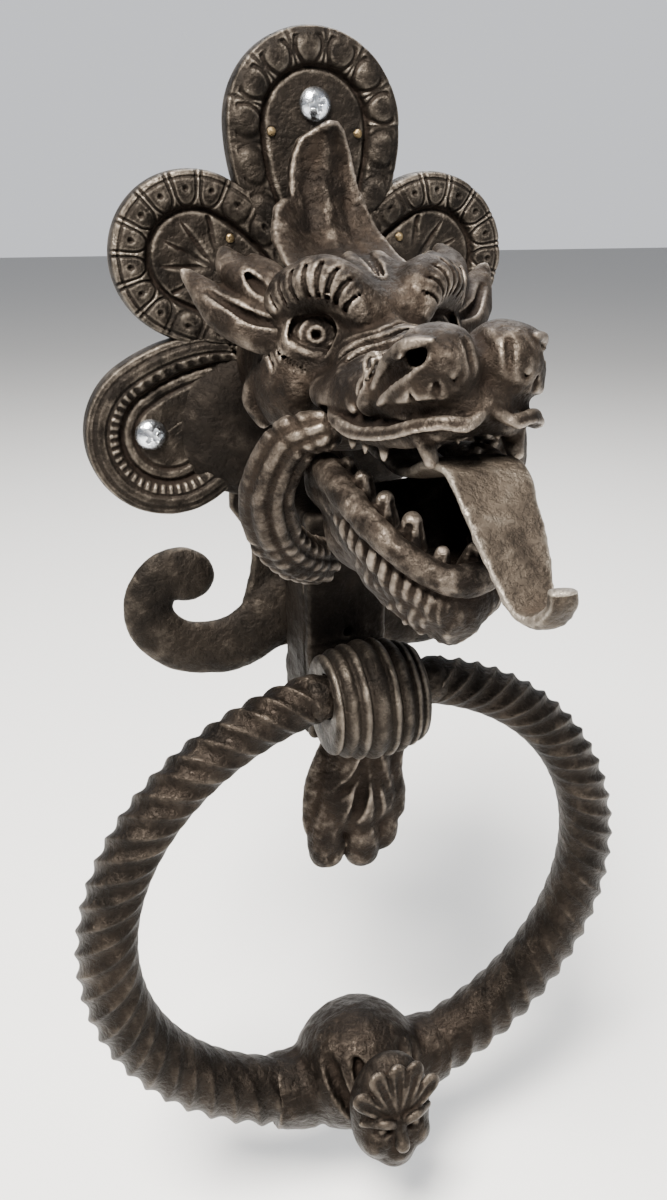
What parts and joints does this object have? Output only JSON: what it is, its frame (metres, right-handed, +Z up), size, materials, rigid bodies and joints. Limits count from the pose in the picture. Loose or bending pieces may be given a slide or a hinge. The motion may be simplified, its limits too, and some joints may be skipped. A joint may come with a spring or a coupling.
{
  "type": "door knocker",
  "caption": "Dark forged door knocker: horned beast's head with open mouth on a lobed plate, with a rope-twisted ring that swings in a rolled eye under its chin.",
  "frame": {"origin": "centre of the three-screw circle on the plate's flat back face, which lies on the door", "axes": "+Z up the door, +Y into the door, the head looks along -Y, +X to the viewer's right"},
  "size_m": [0.1738, 0.1769, 0.3384],
  "materials": {
    "patinated_iron": "dark brown-black patina, worn grey on high spots",
    "dark_iron": "smooth dark patina",
    "worn_iron": "brown patina rubbed to grey metal on its edges",
    "ring_iron": "patina polished by hands on the twist's crests",
    "zinc_screw": "bright zinc plating",
    "brass_rivet": "dull tarnished brass"
  },
  "bodies": {
    "plate": {"backplate": "patinated_iron", "petal_left": "dark_iron", "petal_right": "dark_iron", "lobe_rivets": "brass_rivet", "mount_screws": "zinc_screw", "head_rivets": "dark_iron", "head_shell": "worn_iron", "crest_leaf": "worn_iron", "ear_left": "worn_iron", "ear_right": "worn_iron", "cheek_fold_left": "patinated_iron", "cheek_fold_right": "patinated_iron", "lower_jaw": "worn_iron", "tongue": "worn_iron", "neck_box": "dark_iron", "ring_eye": "patinated_iron", "leaf_drop": "patinated_iron"},
    "ring": {"ring_left": "ring_iron", "ring_right": "ring_iron", "ring_boss": "ring_iron", "mask_knob": "ring_iron"}
  },
  "joints": [
    {"name": "ring_swing", "type": "hinge", "parent": "plate", "child": "ring", "pos_m": [0, -0.0501, -0.0952], "axis": [-1, 0, 0], "range_deg": [-5.3, 110]}
  ]
}
